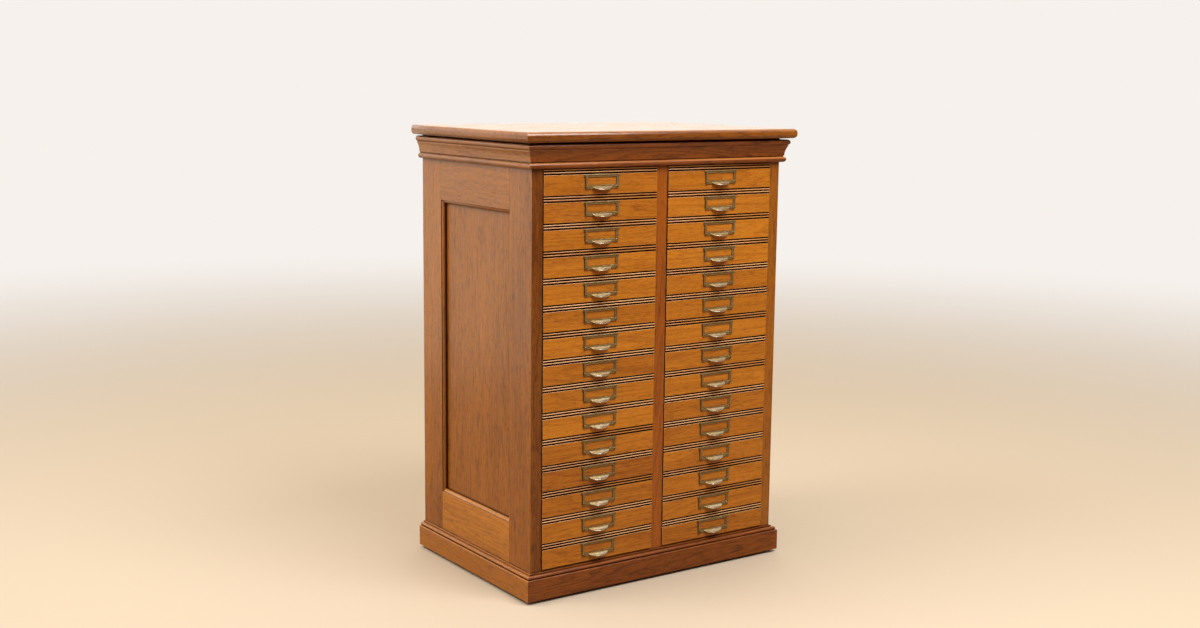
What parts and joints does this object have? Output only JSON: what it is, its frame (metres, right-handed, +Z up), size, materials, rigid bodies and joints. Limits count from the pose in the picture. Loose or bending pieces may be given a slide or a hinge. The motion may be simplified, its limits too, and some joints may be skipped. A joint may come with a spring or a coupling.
{
  "type": "filing cabinet with shallow drawers",
  "caption": "Floor-standing oak filing cabinet with columns of shallow reeded drawers, brass card-frame pulls, framed side panels, moulded cornice and plinth.",
  "frame": {"origin": "on the floor, under the middle of the top board", "axes": "+Z up, the drawers open towards -Y, +X to the right as seen from the front"},
  "size_m": [0.634, 0.439, 0.8755],
  "materials": {
    "oak_case": "satin varnish",
    "oak_side": "satin varnish",
    "oak_front": "satin varnish",
    "oak_inner": "bare wood",
    "steel": "dull"
  },
  "bodies": {
    "cabinet": {"top_board": "oak_side", "sub_top": "oak_case", "cornice_front": "oak_case", "cornice_left": "oak_case", "cornice_right": "oak_case", "plinth_front": "oak_case", "plinth_left": "oak_case", "plinth_right": "oak_case", "left_front_stile": "oak_side", "left_rear_stile": "oak_side", "left_top_rail": "oak_side", "left_bottom_rail": "oak_side", "left_panel": "oak_side", "right_front_stile": "oak_side", "right_rear_stile": "oak_side", "right_top_rail": "oak_side", "right_bottom_rail": "oak_side", "right_panel": "oak_side", "middle_front_stile": "oak_case", "middle_rear_stile": "oak_case", "middle_panel": "oak_inner", "face_top_rail": "oak_case", "face_bottom_rail": "oak_case", "floor_board": "oak_inner", "back_boards": "oak_inner", "runners_left_outer": "oak_inner", "runners_left_inner": "oak_inner", "runners_right_inner": "oak_inner", "runners_right_outer": "oak_inner", "floor_glides": "steel"},
    "drawer_left_01": {"drawer_left_01": "oak_front"},
    "drawer_left_02": {"drawer_left_02": "oak_front"},
    "drawer_left_03": {"drawer_left_03": "oak_front"},
    "drawer_left_04": {"drawer_left_04": "oak_front"},
    "drawer_left_05": {"drawer_left_05": "oak_front"},
    "drawer_left_06": {"drawer_left_06": "oak_front"},
    "drawer_left_07": {"drawer_left_07": "oak_front"},
    "drawer_left_08": {"drawer_left_08": "oak_front"},
    "drawer_left_09": {"drawer_left_09": "oak_front"},
    "drawer_left_10": {"drawer_left_10": "oak_front"},
    "drawer_left_11": {"drawer_left_11": "oak_front"},
    "drawer_left_12": {"drawer_left_12": "oak_front"},
    "drawer_left_13": {"drawer_left_13": "oak_front"},
    "drawer_left_14": {"drawer_left_14": "oak_front"},
    "drawer_left_15": {"drawer_left_15": "oak_front"},
    "drawer_right_01": {"drawer_right_01": "oak_front"},
    "drawer_right_02": {"drawer_right_02": "oak_front"},
    "drawer_right_03": {"drawer_right_03": "oak_front"},
    "drawer_right_04": {"drawer_right_04": "oak_front"},
    "drawer_right_05": {"drawer_right_05": "oak_front"},
    "drawer_right_06": {"drawer_right_06": "oak_front"},
    "drawer_right_07": {"drawer_right_07": "oak_front"},
    "drawer_right_08": {"drawer_right_08": "oak_front"},
    "drawer_right_09": {"drawer_right_09": "oak_front"},
    "drawer_right_10": {"drawer_right_10": "oak_front"},
    "drawer_right_11": {"drawer_right_11": "oak_front"},
    "drawer_right_12": {"drawer_right_12": "oak_front"},
    "drawer_right_13": {"drawer_right_13": "oak_front"},
    "drawer_right_14": {"drawer_right_14": "oak_front"},
    "drawer_right_15": {"drawer_right_15": "oak_front"}
  },
  "joints": [
    {"name": "drawer_left_01_slide", "type": "slide", "parent": "cabinet", "child": "drawer_left_01", "axis": [0, -1, 0], "range_m": [0, 0.3]},
    {"name": "drawer_left_02_slide", "type": "slide", "parent": "cabinet", "child": "drawer_left_02", "axis": [0, -1, 0], "range_m": [0, 0.3]},
    {"name": "drawer_left_03_slide", "type": "slide", "parent": "cabinet", "child": "drawer_left_03", "axis": [0, -1, 0], "range_m": [0, 0.3]},
    {"name": "drawer_left_04_slide", "type": "slide", "parent": "cabinet", "child": "drawer_left_04", "axis": [0, -1, 0], "range_m": [0, 0.3]},
    {"name": "drawer_left_05_slide", "type": "slide", "parent": "cabinet", "child": "drawer_left_05", "axis": [0, -1, 0], "range_m": [0, 0.3]},
    {"name": "drawer_left_06_slide", "type": "slide", "parent": "cabinet", "child": "drawer_left_06", "axis": [0, -1, 0], "range_m": [0, 0.3]},
    {"name": "drawer_left_07_slide", "type": "slide", "parent": "cabinet", "child": "drawer_left_07", "axis": [0, -1, 0], "range_m": [0, 0.3]},
    {"name": "drawer_left_08_slide", "type": "slide", "parent": "cabinet", "child": "drawer_left_08", "axis": [0, -1, 0], "range_m": [0, 0.3]},
    {"name": "drawer_left_09_slide", "type": "slide", "parent": "cabinet", "child": "drawer_left_09", "axis": [0, -1, 0], "range_m": [0, 0.3]},
    {"name": "drawer_left_10_slide", "type": "slide", "parent": "cabinet", "child": "drawer_left_10", "axis": [0, -1, 0], "range_m": [0, 0.3]},
    {"name": "drawer_left_11_slide", "type": "slide", "parent": "cabinet", "child": "drawer_left_11", "axis": [0, -1, 0], "range_m": [0, 0.3]},
    {"name": "drawer_left_12_slide", "type": "slide", "parent": "cabinet", "child": "drawer_left_12", "axis": [0, -1, 0], "range_m": [0, 0.3]},
    {"name": "drawer_left_13_slide", "type": "slide", "parent": "cabinet", "child": "drawer_left_13", "axis": [0, -1, 0], "range_m": [0, 0.3]},
    {"name": "drawer_left_14_slide", "type": "slide", "parent": "cabinet", "child": "drawer_left_14", "axis": [0, -1, 0], "range_m": [0, 0.3]},
    {"name": "drawer_left_15_slide", "type": "slide", "parent": "cabinet", "child": "drawer_left_15", "axis": [0, -1, 0], "range_m": [0, 0.3]},
    {"name": "drawer_right_01_slide", "type": "slide", "parent": "cabinet", "child": "drawer_right_01", "axis": [0, -1, 0], "range_m": [0, 0.3]},
    {"name": "drawer_right_02_slide", "type": "slide", "parent": "cabinet", "child": "drawer_right_02", "axis": [0, -1, 0], "range_m": [0, 0.3]},
    {"name": "drawer_right_03_slide", "type": "slide", "parent": "cabinet", "child": "drawer_right_03", "axis": [0, -1, 0], "range_m": [0, 0.3]},
    {"name": "drawer_right_04_slide", "type": "slide", "parent": "cabinet", "child": "drawer_right_04", "axis": [0, -1, 0], "range_m": [0, 0.3]},
    {"name": "drawer_right_05_slide", "type": "slide", "parent": "cabinet", "child": "drawer_right_05", "axis": [0, -1, 0], "range_m": [0, 0.3]},
    {"name": "drawer_right_06_slide", "type": "slide", "parent": "cabinet", "child": "drawer_right_06", "axis": [0, -1, 0], "range_m": [0, 0.3]},
    {"name": "drawer_right_07_slide", "type": "slide", "parent": "cabinet", "child": "drawer_right_07", "axis": [0, -1, 0], "range_m": [0, 0.3]},
    {"name": "drawer_right_08_slide", "type": "slide", "parent": "cabinet", "child": "drawer_right_08", "axis": [0, -1, 0], "range_m": [0, 0.3]},
    {"name": "drawer_right_09_slide", "type": "slide", "parent": "cabinet", "child": "drawer_right_09", "axis": [0, -1, 0], "range_m": [0, 0.3]},
    {"name": "drawer_right_10_slide", "type": "slide", "parent": "cabinet", "child": "drawer_right_10", "axis": [0, -1, 0], "range_m": [0, 0.3]},
    {"name": "drawer_right_11_slide", "type": "slide", "parent": "cabinet", "child": "drawer_right_11", "axis": [0, -1, 0], "range_m": [0, 0.3]},
    {"name": "drawer_right_12_slide", "type": "slide", "parent": "cabinet", "child": "drawer_right_12", "axis": [0, -1, 0], "range_m": [0, 0.3]},
    {"name": "drawer_right_13_slide", "type": "slide", "parent": "cabinet", "child": "drawer_right_13", "axis": [0, -1, 0], "range_m": [0, 0.3]},
    {"name": "drawer_right_14_slide", "type": "slide", "parent": "cabinet", "child": "drawer_right_14", "axis": [0, -1, 0], "range_m": [0, 0.3]},
    {"name": "drawer_right_15_slide", "type": "slide", "parent": "cabinet", "child": "drawer_right_15", "axis": [0, -1, 0], "range_m": [0, 0.3]}
  ]
}
